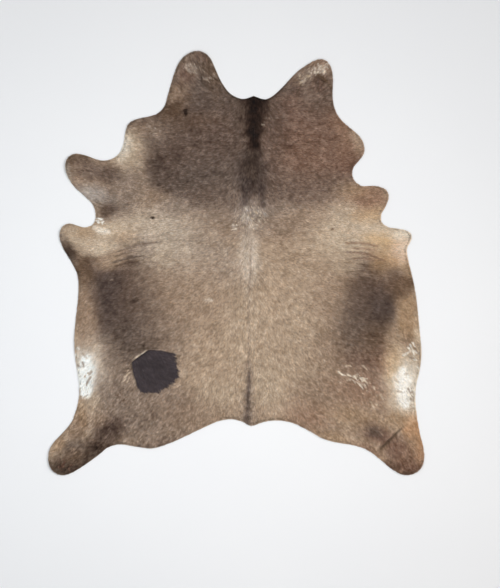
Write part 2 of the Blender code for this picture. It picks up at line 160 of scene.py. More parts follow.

# soft blots of colour, painted one over the other: place and half sizes in mm, shade, how much of it,
# and the softness of the edge and the blot's turn in degrees where they aren't 0.8 and 0
# the row for the left side's cool light is painted light: a cool cast of the light over the hair
MARKINGS = table(Marking, """
fore body: 68 616 590 350 drab 1 0.3
left neck: -142 616 240 310 mole 0.85 0.5
right neck: 358 642 240 300 cocoa 0.8 0.5
beside the mane: 188 642 60 225 mole 0.4
right shoulder, low: 343 387 225 80 drab 0.6 0.6
left shoulder: -317 477 100 130 bark 1 0.7
left shoulder, spread: -232 407 190 100 mole 0.7 0.6 -10
left withers: -107 327 175 70 drab 0.7 0.7
below the withers: 58 237 350 70 stone 0.6 0.9
left ear: -192 916 150 160 mole 0.6 0.5
left ear, tip: -152 1042 70 45 mole 0.8 0.8 -10
left ear, tan: -282 852 65 60 hazel 0.85 0.6
left ear, root: -312 766 70 40 umber 0.85 0.6 10
left ear, band: -267 706 175 40 umber 0.5 0.8 5
right ear: 408 866 110 130 drab 0.8 0.6
right ear, tip: 433 986 65 40 russet 0.75
right cheek: 568 576 70 100 russet 0.8 0.7
right cheek, rim: 613 616 35 70 sand 0.8
right cheek, notch: 553 497 60 65 chestnut 0.75
left cheek: -527 576 55 110 oat 0.9 0.6 -8
left cheek, palest: -572 566 35 60 cream 0.8 0.8 -10
left cheek, inner: -402 626 70 60 stone 0.6
left cheek, low: -507 492 50 40 oat 0.8 0.7
left cheek, rim: -482 706 70 25 drab 0.7 0.7 8
left cheek, pale: -422 666 70 35 hazel 0.6
left fore leg: -732 417 150 110 fawn 1 0.4 -30
left fore leg, tip: -787 516 60 30 umber 0.75 0.7 10
left fore leg, end: -847 442 35 45 linen 1 0.7
left fore leg, band: -687 457 130 50 drab 0.9 0.7 -15
left fore leg, knee: -622 442 50 35 bark 0.6
left fore leg, low: -682 332 120 45 ash 0.95 0.7 -20
left brisket: -552 327 100 100 stone 0.8
left brisket, pale: -432 227 110 45 linen 0.5
left brisket, low: -597 237 40 35 stone 0.6
left notch, dark: -632 252 50 40 bark 0.9 0.6
left notch, band: -677 282 45 20 umber 0.3 0.8 -30
left elbow: -792 132 90 60 oat 0.75 0.5
left elbow, under: -757 7 80 60 umber 0.8 0.7 20
left ribs, top: -497 177 180 55 cream 0.75
left elbow, gold: -722 162 70 30 tan 0.6 0.7 3
left elbow, gold behind: -562 127 80 30 honey 0.5 0.8 5
left elbow, pale: -657 77 100 40 cream 0.9 0.7
left elbow, rim: -832 52 35 55 peat 0.9 0.6 35
left elbow, corner: -872 107 30 40 stone 0.6 0.7
left flank, inner: -442 -198 130 310 hazel 0.75 0.9
left flank: -597 -183 145 260 bark 0.95 0.5 8
left flank, darkest: -642 -158 70 150 slate 0.7
left flank, top: -502 7 110 55 drab 0.55 0.8 8
left flank, corner: -642 22 60 40 fawn 0.8 0.8 20
left flank, low: -512 -393 130 130 mole 0.75 0.7
left rim, umber: -757 -53 45 55 umber 0.85 0.7 10
left belly, tan: -757 -258 45 140 fawn 0.95 0.6
left belly, halo: -717 -548 100 170 pearl 0.95 0.7
left belly, white: -752 -564 50 135 frost 0.9 0.5
left thigh: -522 -724 290 170 stone 0.85 0.6 -10
left thigh, outer: -717 -714 50 60 sand 0.6
left hind leg, outer: -822 -834 90 45 hazel 0.9 0.6 40
left hind leg, hock: -627 -824 85 55 bark 0.95 0.7 30
left hind leg, below the hock: -692 -904 70 45 bark 0.85 0.8 30
left hind leg, low: -732 -968 130 40 peat 0.85 0.7 30
left hind leg, tip: -852 -1014 80 40 peat 0.9 0.6 -10
left hind leg, mid: -812 -924 70 40 mole 0.8 0.8 30
left ribs: -292 117 210 120 linen 0.7 0.8 5
left ribs, palest: -352 77 120 70 cream 0.5 0.9 5
left elbow, pale again: -662 67 85 35 cream 0.9 0.7 5
ash saddle: 88 222 90 80 ash 0.8 0.7
ash saddle, right: 238 227 120 60 taupe 0.6
right ribs, cream: 588 187 250 90 cream 0.8 0.7
below the right shoulder: 328 232 140 45 fawn 0.6 0.8 5
right ribs: 328 57 225 125 sand 0.5
right elbow, gold: 718 107 90 45 straw 0.9 0.7 -10
right elbow, pale: 833 132 60 45 ivory 1 0.5 -10
right elbow, below: 808 27 60 60 straw 0.7 0.7
right fore leg: 658 327 100 60 russet 0.95 0.5
right fore leg, tip: 753 342 25 35 tan 0.6
right fore leg, low: 678 242 70 40 honey 0.6
right flank, inner: 543 -233 100 270 hazel 0.65 0.9
right flank: 678 -183 130 210 bark 0.9 0.5 -18
right flank, darkest: 728 -208 55 130 slate 0.7 0.8 -15
right flank, top: 658 -23 125 45 stone 0.7 0.8 -8
right rim, dark: 828 -103 70 45 umber 0.95 0.6 8
right flank, low: 643 -433 120 110 drab 0.8 0.7
right flank, hem: 723 -433 40 80 cocoa 0.6
right elbow, below again: 748 37 55 35 straw 0.7 0.8 -15
right ribs, lower cream: 528 67 140 50 oat 0.7 0.8 -5
right belly, tan: 853 -283 55 175 tan 0.9 0.5 5
right belly, cream: 798 -534 80 150 cream 0.95 0.5
right belly, dark spots: 848 -393 40 45 hazel 0.6
right thigh, orange: 873 -794 45 70 amber 0.85 0.6
right thigh: 598 -718 280 150 fawn 0.75 0.6 12
right thigh, inner: 358 -754 120 65 russet 0.7
right hind leg, hock: 693 -844 80 45 chestnut 0.9 0.7 -25
right hind leg, hock dark: 683 -834 40 30 mole 0.8 0.9 -20
right thigh, low light: 598 -804 50 40 sand 0.5
right hind leg, below: 808 -934 80 60 chestnut 0.85 0.7 -30
right hind leg, outer: 893 -884 40 80 tan 0.6
right hind leg, tip: 838 -1014 70 40 umber 0.85 0.6
loin, right: 368 -333 150 300 sand 0.5
rump, left: -282 -704 130 80 hazel 0.6
rump, left of the tail: -72 -654 100 70 oat 0.6 0.9
rump, right of the tail: 148 -604 80 130 oat 0.7 0.9
loin, along the spine: 53 -283 100 250 oat 0.45 0.9
left flank, far inner: -342 -383 100 150 stone 0.55 0.9
rump, left edge: -417 -924 170 55 drab 0.62 0.8 20
around the saddle, left: -72 157 150 90 hazel 0.5 0.9
around the saddle, right: 208 177 140 70 hazel 0.55 0.9
loin, upper left: -42 -3 120 90 taupe 0.6 0.9
left cheek, palest again: -567 576 40 65 cream 0.95 0.8 -10
right flank, low inner: 488 -433 130 130 hazel 0.7 0.9
right flank, lowest: 678 -473 110 60 cocoa 0.6
right elbow, under the tip: 828 62 55 55 peach 1 0.7
right belly, cream low: 828 -668 80 95 cream 0.9 0.6
right belly, rim low: 893 -688 30 70 ivory 0.7
right belly, rim: 913 -373 25 100 cream 0.75 0.8 3
right thigh, amber: 878 -814 35 60 amber 0.4
right hind leg, sole: 828 -1018 110 40 chestnut 0.9 0.6
right hind leg, heel: 688 -958 45 25 amber 0.3 0.8 -30
right hind leg, toe: 918 -964 25 50 russet 0.8
right thigh, light: 528 -774 90 35 sand 0.6 0.8 -10
right rim, dark again: 818 -123 65 45 umber 0.7 0.7 15
left shoulder, lower corner: -332 287 80 45 taupe 0.8
left elbow, top: -652 147 65 35 cream 0.75
left elbow, crook: -812 7 25 30 stone 0.6
left cheek, middle: -492 576 50 50 oat 0.5 0.9
left cheek, frosted: -562 582 35 50 frost 0.6 0.9 -8
left cheek, top: -352 666 70 40 stone 0.6
left ear, front: -332 852 45 40 fawn 0.7
left ear, brow: -247 946 45 50 cocoa 0.7
right cheek, top: 528 716 70 70 russet 0.85 0.8 20
right neck, red: 358 546 140 120 russet 0.4 0.9
right fore leg, root: 578 362 80 40 tan 0.5
right fore leg, sole: 753 342 30 40 sand 0.75
right ribs, top cream: 748 182 70 35 cream 0.7
right ribs, middle: 528 97 130 40 cream 0.4
right ribs, low: 528 -13 70 40 oat 0.7
right flank, top light: 733 12 60 30 honey 0.75 0.8 -15
right flank, tail: 688 -373 60 90 umber 0.65 0.9 -20
right flank, inner dark: 558 -313 70 100 mole 0.45 0.9
right rim, light: 893 -143 20 40 sand 0.7
right belly, halo: 813 -578 90 115 cream 0.85 0.7
right belly, bright: 843 -604 65 100 frost 0.8 0.7
left belly, low: -747 -668 65 55 oat 0.7
left hind leg, light: -867 -844 55 40 sand 0.85 0.8 20
left hind leg, dark: -817 -958 60 30 umber 0.7 0.8 20
left ribs, dim: -447 67 50 30 taupe 0.6 0.9
cream on the spine: 63 27 42 125 pearl 0.85 0.7
left flank, corner light: -617 12 65 40 fawn 0.95 0.8 15
left flank, front edge: -712 -253 30 120 fawn 0.5
right thigh, lower light: 578 -754 150 45 tan 0.5 0.9 -15
right thigh, amber top: 803 -774 50 40 tan 0.7 0.9
right loin, light: 318 -358 100 225 oat 0.35 0.9
right rump, edge: 478 -874 90 30 tan 0.6 0.8 -15
right flank, hem red: 723 -503 35 45 russet 0.6 0.9
rump, right of the tail, dim: 133 -748 40 40 hazel 0.45 0.9
right hind leg, heel red: 608 -914 45 25 russet 0.5 0.9 -20
right hind leg, hock red: 663 -934 40 25 chestnut 0.45 0.9 -20
right belly, straw: 773 -483 40 130 straw 0.55
right elbow, tip light: 843 72 35 25 ivory 0.5 0.9
left ribs, low light: -357 17 55 40 cream 0.55 0.9
left flank, corner top: -597 22 45 30 sand 0.9 0.9 10
left thigh, outer top: -672 -774 40 30 fawn 0.6 0.9 30
beside the repair, dim: -572 -574 40 60 stone 0.75 0.9
right thigh, upper dim: 653 -594 65 50 cocoa 0.6 0.9
right withers: 158 302 50 35 drab 0.5 0.9
right shoulder, low rim: 608 242 45 25 tan 0.5 0.9
right hind leg, sole dark: 773 -1014 40 25 umber 0.55 0.9 -20
right hind leg, rim of the sole: 833 -1054 70 20 umber 0.6
right flank, low rim: 773 -373 30 60 hazel 0.5 0.9 -10
left neck, red: -112 666 190 150 cocoa 0.32 0.9
left shoulder, darkest: -332 502 60 70 bark 0.6 0.9
left side, cool light: -252 27 150 130 ash 0.15 0.9
right cheek, red: 573 586 60 80 russet 0.3 0.9
right flank, top red: 768 -58 120 100 russet 0.2 0.9
left hip, dim: -332 -674 80 50 stone 0.35 0.9
left flank, inner dim: -447 -203 65 170 mole 0.45 0.9
left belly, hem: -632 -463 40 55 stone 0.7 0.9
right hind leg, warm: 858 -944 65 75 russet 0.45 0.9
right hind leg, outer rim: 918 -884 25 90 amber 0.6 0.9
left thigh, golden rim: -777 -734 30 80 tan 0.6 0.9 10
left hind leg, golden rim: -897 -888 30 50 tan 0.5 0.9 40
left shoulder, low light: -377 337 45 30 fawn 0.6 0.9
right flank, corner light: 718 -13 50 35 tan 1 0.9 -10
right ribs, bright: 518 132 60 30 cream 0.6 0.9
right ear, root dim: 243 876 45 30 mole 0.6 0.9
left flank, middle dim: -407 -263 60 110 stone 0.35 0.9
left cheek, inner dim: -532 447 50 40 stone 0.5 0.9
right belly, rim middle: 893 -598 30 65 ivory 0.6
left ear, inner: -117 946 40 100 umber 0.6 0.9 15
left ear, frost: -222 966 35 20 linen 0.4 0.9 -30
left ear, tip red: -182 1032 60 30 cocoa 0.4 0.9 -10
right ear, frost: 413 966 45 25 pearl 0.35 0.9 10
right ear, frost low: 338 932 35 30 taupe 0.4 0.9 30
left loin, dim: -242 -163 210 170 hazel 0.42 0.9
left rump, dim: -157 -764 180 60 hazel 0.45 0.9 8
right hip, dim: 408 -648 120 75 hazel 0.6 0.9
right thigh, upper: 608 -624 130 70 russet 0.6 0.9 -15
right flank, top corner: 738 -53 55 35 hazel 0.6 0.9 -10
right cheek, tan: 588 646 30 45 sand 0.65 0.9 20
right loin, dim: 418 -183 70 100 hazel 0.35 0.9
left brisket, dim: -552 387 70 50 stone 0.5 0.9
left ribs, behind the elbow: -437 112 65 35 taupe 0.55 0.9
left ear, spot: -297 792 35 20 umber 0.5 0.9 -10
right ear, patch: 408 896 25 40 chestnut 0.6 0.9
right elbow, below rim: 868 -23 25 45 tan 0.7 0.9
left belly, above: -762 -383 35 50 fawn 0.55 0.9
scar of the left loin: -130 -178 23 11 pearl 0.65 0.6
fleck of the left flank: -502 -178 23 12 peat 0.9 0.4 20
pale fleck of the left flank: -620 -81 8 6 taupe 0.8 0.7
speck of the left shoulder: -380 392 8 8 peat 0.8 0.5
speck of the left brisket: -412 227 11 8 soot 1 0.5 -20
speck of the right ribs: 468 167 9 6 umber 0.8 0.5
""")

# narrow marks: raggedness, softness of the edge, shade, how much of it, and a run of (x, y, half width)
# the rows of wrinkles and creases are painted shade in the folds of the skin
STREAKS = table(Streak, """
mane, brown sides: 1 0.9 peat 0.7 | 93 856 90, 90 756 70, 88 656 40
mane, grey: 1 0.8 slate 0.9 | 83 536 45, 83 477 65, 78 427 65, 73 387 40
mane, low: 1 0.9 peat 0.8 | 88 576 30, 83 492 40, 73 397 30
mane: 0.7 0.7 soot 1 | 98 856 60, 98 796 45, 93 736 35, 90 656 27.5, 95 596 20
mane, left tail: 0.6 0.9 slate 0.8 | 48 407 25, 43 317 17.5
mane, right tail: 0.6 0.9 slate 0.6 | 128 392 20, 128 297 10
parting of the cream stripe: 0.1 0.95 stone 0.5 | 70 137 2, 68 7 4, 70 -123 3
spine line: 0.2 0.9 stone 0.35 | 63 -83 5, 63 -483 5
tail streak, soft: 0.6 0.9 stone 0.6 | 63 -493 15, 58 -608 22.5, 55 -708 32.5, 58 -804 45
tail streak: 0.5 0.9 slate 0.55 | 60 -534 5, 58 -634 9, 55 -708 11, 53 -804 15
seam of the repair: 0.3 0.8 ivory 0.8 | -502 -471 2.5, -477 -452 4, -447 -434 6
white of the left belly: 1 0.5 snow 1 | -752 -473 20, -747 -518 37.5, -754 -574 42.5, -760 -628 35
white of the left belly, low: 1 0.6 snow 0.9 | -772 -594 20, -752 -624 30
pale streak of the left elbow: 0.4 0.95 white 0.6 | -702 182 10, -672 164 15, -632 157 10
white of the right belly: 1 0.6 white 1 | 826 -534 20, 828 -574 40, 828 -614 32.5, 830 -658 32.5,
 838 -698 20
left wrinkle, upper: 0.2 0.9 drab 0.65 | -582 62 3.5, -532 79 6.5, -472 97 6.5, -392 104 2.5
left wrinkle, second: 0.2 0.9 drab 0.6 | -597 37 3.5, -542 59 5, -492 72 3
left wrinkle, third: 0.2 0.9 mole 0.65 | -612 7 4.5, -562 19 6, -512 34 5.5, -452 37 3
left wrinkle, lowest: 0.2 0.9 bark 0.6 | -602 -13 3.5, -542 2 5, -482 7 3
right wrinkle, upper: 0.4 0.95 russet 0.55 | 543 102 3.5, 608 104 6.5, 648 97 7, 698 82 3.5
right wrinkle, second: 0.4 0.95 russet 0.55 | 578 77 3.5, 638 74 6, 688 62 3.5
right wrinkle, third: 0.4 0.95 cocoa 0.55 | 543 57 3.5, 608 57 6.5, 658 42 7, 738 12 3.5
right wrinkle, fourth: 0.4 0.95 cocoa 0.5 | 578 27 3.5, 628 29 5.5, 688 12 3.5
right wrinkle, lowest: 0.2 0.9 bark 0.5 | 548 -43 2, 618 -33 4, 678 -43 2
right hind crease: 0.4 0.95 umber 0.7 | 718 -924 9, 748 -896 13, 778 -868 8, 818 -824 4
right ear crease: 0.4 0.7 umber 0.9 | 398 936 6, 423 919 9, 443 904 9, 473 876 6
right ear, dark spot: 0.5 0.8 bark 0.8 | 403 912 8, 400 894 10, 400 876 7
neck wrinkle, left: 0.3 0.9 bark 0.35 | -292 694 2.5, -132 696 3.5, 43 684 2.5
neck wrinkle, lower left: 0.3 0.9 bark 0.3 | -202 662 2, -72 656 3, 38 662 2
neck scratch: 0.3 0.9 peat 0.55 | 248 579 2, 303 612 3
neck scratch, upper: 0.3 0.9 peat 0.45 | 283 654 2, 308 679 3
pale hairs over the mane: 0.2 0.9 taupe 0.45 | 128 732 2, 178 729 3, 238 732 1.5
white fleck of the mane: 0 0.9 ivory 0.9 | 125 699 2.5, 135 699 2.5
""")

# tufts of odd-coloured hairs: half width, shade, how much of it, and dashes from root to thin tip
TUFTS = table(Tuft, """
right thigh, white: 4.8 ivory 0.95 | 506 -536 522 -550, 522 -550 538 -555, 551 -550 569 -559,
 581 -562 598 -565, 615 -570 623 -586, 624 -572 631 -585, 631 -576 643 -590, 609 -598 627 -625
right thigh, fine white: 3 ivory 0.7 | 546 -579 560 -576, 556 -574 575 -572, 586 -585 605 -589,
 576 -578 588 -584, 587 -558 610 -544, 619 -594 636 -614, 634 -598 641 -618, 503 -584 521 -596,
 600 -594 613 -608
right thigh, cream: 5 cream 0.75 | 631 -508 645 -524, 715 -652 727 -676, 666 -686 669 -694,
 677 -705 687 -722, 695 -699 703 -705, 541 -507 571 -508, 679 -610 684 -625
right belly, dark bristles: 3 hazel 0.65 | 856 -618 868 -644, 868 -636 886 -648, 868 -668 886 -681,
 873 -656 888 -668, 866 -704 886 -694, 868 -724 886 -716
right belly, white curls: 5 frost 0.8 | 878 -393 888 -413, 876 -433 883 -461, 883 -473 896 -483,
 828 -453 858 -438, 902 -514 908 -521, 863 -403 873 -428, 888 -438 903 -448, 853 -418 863 -433
right belly, dark curls: 4 drab 0.5 | 890 -423 913 -456, 866 -466 898 -476, 898 -398 908 -418
right belly, cream spots: 6 oat 0.6 | 790 -578 806 -591, 793 -634 823 -634, 843 -544 858 -546
left belly, dark hairs: 6 taupe 0.85 | -723 -536 -734 -554, -727 -566 -742 -586, -742 -588 -747 -604,
 -764 -491 -758 -514, -782 -634 -780 -644, -787 -506 -772 -514, -762 -448 -747 -468
left belly, strands: 3.5 taupe 0.6 | -777 -676 -737 -648, -772 -694 -722 -664
left belly, white spots: 5.5 frost 0.9 | -722 -554 -712 -566, -800 -453 -792 -463, -787 -418 -780 -426
ash saddle, frost: 6.5 frost 0.32 | 33 232 45 252, 58 232 78 212, 68 187 88 174, -10 187 -1 169,
 48 287 55 269, 138 252 148 237
beside the repair, white: 4 cream 0.8 | -552 -564 -527 -544, -564 -588 -547 -571, -537 -588 -527 -564,
 -517 -518 -512 -534
speck of the left neck: 7 soot 0.9 | -251 765 -247 746, -242 765 -244 741
left ear, pale curls: 3 pearl 0.5 | -250 982 -243 972, -230 988 -222 976, -209 981 -198 968,
 -229 960 -220 949, -207 952 -197 942, -183 976 -174 964, -165 960 -157 949, -163 922 -153 912,
 -149 916 -139 906, -137 904 -129 896, -126 922 -118 912, -109 938 -99 928
right ear, white curls: 4 pearl 0.8 | 306 938 312 932, 322 908 333 896, 334 921 341 908, 353 954 360 948,
 380 971 393 962, 410 975 430 954, 422 962 439 946, 380 950 389 940
left fore leg, white: 5 frost 0.8 | -687 212 -674 202, -667 219 -662 212
""")

# clumps of odd-coloured hairs: place, half sizes, clump size, share of the hair that has them, shade, turn
FLECKS = table(Fleck, """
left ear: -222 966 40 25 5 0.4 linen -30
left ear, low: -137 916 50 20 6 0.4 taupe
right ear: 408 966 60 35 5 0.5 pearl 20
right ear, low: 333 916 45 30 6.5 0.4 oat 30
left cheek: -407 662 70 35 6 0.3 taupe -15
left notch: -677 207 30 20 7 0.6 frost -30
ash saddle: 78 227 75 70 4.5 0.36 cream
ash saddle, left: 3 187 25 20 5 0.36 ivory
right thigh, specks: 628 -608 110 70 6 0.2 oat -30
right thigh, fine specks: 613 -578 40 30 3.5 0.34 ivory -25
right belly, rim: 883 -443 30 45 7 0.3 cream
right belly, below the white: 873 -664 15 55 6 0.25 fawn
left belly, islands: -727 -524 30 75 15 0.27 sand
left belly, specks of the rim: -782 -584 15 120 6 0.2 fawn
beside the repair: -542 -558 20 40 5 0.3 oat
left hind leg: -812 -918 30 35 6 0.28 fawn 40
left hind leg, red tip: -872 -1008 70 30 9 0.38 chestnut
left thigh, dark specks: -572 -664 45 40 7 0.3 umber
right hind leg, red tip: 838 -994 80 45 10 0.35 russet
""")

# fine wrinkles across the lie of the hair, drawn as painted shade: place, half sizes, spacing, how dark the
# painted shade is, turn
RIPPLES = table(Ripple, """
neck, left: -122 646 190 90 20 0.06 -3
neck, right: 298 656 190 120 20 0.055 2
left ribs: -242 57 170 110 20 0.04 3
left elbow: -512 47 130 60 18 0.06 12
right ribs: 448 57 140 120 20 0.03 -2
right flank, top: 638 -33 120 70 18 0.07 -8
right flank, low: 628 -413 120 120 20 0.075
left flank, low: -522 -393 190 60 20 0.065 2
left hip: -382 -408 130 60 20 0.05
left hind leg: -702 -904 110 30 18 0.05 -8
""")

# which way the hair lies: place, heading in degrees from +X, how far the row is felt, and how marked
# the light and dark of the hairs is there
LIES = table(Lie, """
mane: 88 716 -90 70 1
withers: 78 367 -90 70 1.1
neck, right: 293 666 -15 150 0.95
neck, left: -122 666 195 150 0.9
right ear: 408 942 50 100 1.1
left ear: -202 966 115 100 1.1
right cheek: 568 566 5 100 1
left cheek: -492 616 165 100 0.9
right shoulder: 418 367 -5 150 1
left shoulder: -332 417 185 150 1
right fore leg: 693 317 0 90 0.9
left fore leg: -757 442 165 125 0.9
right elbow: 793 127 5 100 0.5
left elbow: -807 142 175 90 0.7
right ribs: 368 67 -10 150 0.9
left ribs: -257 67 190 150 0.9
right ribs, outer: 568 142 -4 100 0.6
right flank: 643 -183 -20 150 0.7
left flank: -557 -183 200 150 0.75
right belly: 878 -283 -65 70 0.9
left belly: -782 -283 245 70 0.9
right belly, white: 833 -608 -62 65 0.45
left belly, white: -757 -558 242 65 0.45
right loin: 243 -283 -55 140 1
left loin: -107 -283 235 140 0.95
right hip: 518 -534 -40 150 1.05
left hip: -407 -534 220 150 1.1
right rump: 193 -684 -75 100 0.9
left rump: -82 -684 255 100 0.85
spine: 63 -333 -90 70 0.95
tail: 58 -708 -90 70 1.1
right thigh: 643 -784 -50 125 1
left thigh: -582 -784 235 125 1.3
right hind leg: 843 -958 -60 110 1
left hind leg: -832 -958 225 110 1.1
""")


def hex_rgb(value):
    """sRGB hex to three sRGB numbers."""
    return np.array([int(value[k:k + 2], 16) / 255 for k in (1, 3, 5)])


def linear(srgb):
    srgb = np.clip(srgb, 0.0, 1.0)
    return np.where(srgb <= 0.04045, srgb / 12.92, ((srgb + 0.055) / 1.055) ** 2.4)


def linear_rgba(value):
    return (*linear(hex_rgb(value)), 1.0)


def smooth(t):
    t = np.clip(t, 0.0, 1.0)
    return t * t * (3 - 2 * t)


def unit(vectors):
    return vectors / np.linalg.norm(vectors, axis=1)[:, None]


def between(table, near, far, share):
    """Numbers of a table part of the way from the near cells to the far ones."""
    (i, j), (right, above), (u, v) = near.T, far.T, share.T
    low = table[i, j] * (1 - u) + table[right, j] * u
    high = table[i, above] * (1 - u) + table[right, above] * u
    return low * (1 - v) + high * v


def cloud(points, size, seed):
    """Smooth noise from -1 to 1, whose blobs are about size across, in the unit of points."""
    table = np.random.default_rng(seed).uniform(-1, 1, (NOISE_CELLS, NOISE_CELLS))
    place = points / size
    cell = np.floor(place).astype(int)
    return between(table, cell % NOISE_CELLS, (cell + 1) % NOISE_CELLS, smooth(place - cell))


def clouds(points, size, seed, octaves=2):
    """Noise of clouds within clouds, each half the size of the last."""
    total, weight, amount = 0.0, 0.0, 1.0
    for k in range(octaves):
        total = total + amount * cloud(points, size / 2 ** k, seed + k)
        weight += amount
        amount *= 0.55
    return total / weight


def layered(points, layers):
    """The sum of clouds given as (weight, size, seed)."""
    return sum(weight * clouds(points, size, seed) for weight, size, seed in layers)


def turned(points, row):
    """Points along the two directions of a row, from its middle."""
    turn = math.radians(row.turn)
    x, y = points[:, 0] - row.x, points[:, 1] - row.y
    return x * math.cos(turn) + y * math.sin(turn), y * math.cos(turn) - x * math.sin(turn)


def blot(points, row):
    """Distance from the middle of a marking, where 1 is its outline."""
    across, along = turned(points, row)
    return np.hypot(across / row.half_wide, along / row.half_long)


def along_run(points, marks):
    """Distance from a run of (x, y, half width), where 1 is its outline."""
    nearest = np.full(len(points), 9.0)
    for (x0, y0, w0), (x1, y1, w1) in zip(marks, marks[1:]):
        side_x, side_y = x1 - x0, y1 - y0
        x, y = points[:, 0] - x0, points[:, 1] - y0
        t = np.clip((x * side_x + y * side_y) / (side_x ** 2 + side_y ** 2), 0, 1)
        away = np.hypot(x - t * side_x, y - t * side_y) / (w0 + (w1 - w0) * t)
        nearest = np.minimum(nearest, away)
    return nearest


def nearest_dash(points, row):
    """Distance from the tufts of a row, which are half as wide at the tip, where 1 is their outline."""
    wide, tip = row.half_wide, 0.5 * row.half_wide
    return np.minimum.reduce([along_run(points, ((x0, y0, wide), (x1, y1, tip)))
                              for x0, y0, x1, y1 in row.dashes])


def ripple(points, row, seed):
    """Long thin lines inside a blot, from 0 to 1."""
    along, across = turned(points, row)
    line = np.abs(clouds(np.stack([along / RIPPLE_STRETCH, across], axis=1), row.spacing, seed))
    return smooth(1 - line / RIPPLE_WIDTH) * smooth(1.5 - blot(points, row))


def felt(points, row):
    """How much of a row of LIES is felt."""
    away = (points[:, 0] - row.x) ** 2 + (points[:, 1] - row.y) ** 2
    return np.exp(-away / (2 * row.reach ** 2)) + 1e-9


def heading_at(points):
    """Unit vectors along the hair, for points in mm."""
    total = np.zeros((len(points), 2))
    for row in LIES:
        turn = math.radians(row.heading)
        total += felt(points, row)[:, None] * np.array([math.cos(turn), math.sin(turn)])
    return unit(total)


def grain_at(points):
    """How marked the light and dark of the hairs is, for points in mm."""
    shares = [felt(points, row) for row in LIES]
    return sum(share * row.grain for share, row in zip(shares, LIES)) / sum(shares)


def mottle(points, heading):
    """Light and dark in the coat, from broad clouds down to streaks along the hair."""
    steps = (-HAIR_STEP, 0, HAIR_STEP)
    streak = sum(cloud(points + step * heading, STREAK_SIZE, 61) for step in steps) / len(steps)
    return STREAK_WEIGHT * streak + layered(points, MOTTLES)


def tint(colour, row, weight):
    """Moves a colour towards the shade of a row."""
    colour += weight[:, None] * (hex_rgb(SHADES[row.shade]) - colour)


def coat_colour(points, heading):
    """The coat's sRGB colour at points in mm: markings, streaks, tufts and flecks, with ragged edges, and
    painted shade along the wrinkles and creases.
    """
    (broad, broad_size), (fine, fine_size) = RAGS
    ragged = points.copy()
    for axis in (0, 1):
        ragged[:, axis] += (broad * clouds(points, broad_size, 11 + 10 * axis)
                            + fine * cloud(points, fine_size, 31 + axis))
    colour = np.tile(hex_rgb(SHADES[GROUND]), (len(points), 1))
    rows = [(row, blot(ragged, row)) for row in MARKINGS]
    rows += [(row, along_run(row.ragged * ragged + (1 - row.ragged) * points, row.marks)) for row in STREAKS]
    # the streaks along wrinkles and creases lay painted shade
    for row, away in rows:
        tint(colour, row, row.amount * smooth((1 + row.edge - away) / (2 * row.edge)))
    for row in TUFTS:
        away = nearest_dash(TUFT_RAG * ragged + (1 - TUFT_RAG) * points, row)
        tint(colour, row, row.amount * smooth(1.6 - away))
    for k, row in enumerate(FLECKS):
        near = smooth(1.5 - blot(points, row)) * row.share
        clump = 0.5 + 0.5 * cloud(points - HAIR_STEP * heading, row.size, 200 + k)
        tint(colour, row, smooth((clump - 1 + near) / CLUMP_EDGE))
    # painted shade along the fine wrinkles
    for k, row in enumerate(RIPPLES):
        colour -= (row.depth * ripple(points, row, 400 + k))[:, None]
    return colour + (grain_at(points) * mottle(points, heading))[:, None] * MOTTLE_TINT


# the solid skin, read from the frame
def merged(node):
    bm = bmesh.new()
    bm.from_mesh(frame["nodes"][node].data)
    bmesh.ops.remove_doubles(bm, verts=bm.verts, dist=1e-6)
    return bm


def signed_area(ring):
    following = np.roll(ring, -1, axis=0)
    return 0.5 * (ring[:, 0] * following[:, 1] - ring[:, 1] * following[:, 0]).sum()


def cut_edges(bm):
    """The closed rings where the flat underside meets the cut walls, longest first, as (n, 3) points."""
    links = {}
    for edge in bm.edges:
        flat = [face.normal.z < UNDERSIDE for face in edge.link_faces]
        if sorted(flat) == [False, True]:
            for vert, other in (edge.verts, reversed(edge.verts)):
                links.setdefault(vert, []).append(other)
    rings = []
    while links:
        ring = [next(iter(links))]
        while ring[-1] in links:
            following = [vert for vert in links.pop(ring[-1]) if vert in links]
            if not following:
                break
            ring.append(following[0])
        rings.append(np.array([vert.co for vert in ring]))
    rings.sort(key=len, reverse=True)
    return [ring if signed_area(ring) > 0 else ring[::-1] for ring in rings]


def walk(ring):
    """The length of a ring, and a function that gives the points at places along it."""
    side = np.linalg.norm(np.roll(ring, -1, axis=0) - ring, axis=1)
    along = np.concatenate([[0], np.cumsum(side)])
    closed = np.vstack([ring, ring[:1]])

    def at(places):
        return np.stack([np.interp(places, along, closed[:, k], period=along[-1]) for k in (0, 1)], axis=-1)

    return along[-1], at


def ring_distance(points, ring, batch=20000):
    """Distance in metres from points to a ring: above 0 within it."""
    found = np.empty(len(points))
    start, side = ring[:, :2], (np.roll(ring, -1, axis=0) - ring)[:, :2]
    for first in range(0, len(points), batch):
        part = points[first:first + batch]
        reach = part[:, None] - start[None]
        share = np.clip((reach * side).sum(2) / (side * side).sum(1), 0, 1)
        away = np.linalg.norm(reach - share[..., None] * side, axis=2).min(1)
        (x, y), (y0, y1) = part.T[:, :, None], (start[:, 1], start[:, 1] + side[:, 1])
        spans = (y0 > y) != (y1 > y)
        with np.errstate(divide="ignore", invalid="ignore"):
            crossing = start[:, 0] + (y - y0) * side[:, 0] / side[:, 1]
        within = (spans & (x < crossing)).sum(1) % 2 == 1
        found[first:first + batch] = np.where(within, away, -away)
    return found


class Field:
    """Numbers kept on a grid over the skin, read back between its points."""

    def __init__(self, low, high, cell):
        self.low, self.cell = low, cell
        self.count = np.ceil((high - low) / cell).astype(int) + 1
        x, y = (low[k] + cell * np.arange(self.count[k]) for k in (0, 1))
        self.points = np.stack(np.meshgrid(x, y, indexing="ij"), axis=2).reshape(-1, 2)

    def read(self, values, points):
        place = np.clip((points - self.low) / self.cell, 0, self.count - 1.001)
        cell = place.astype(int)
        return between(values.reshape(self.count), cell, cell + 1, place - cell)


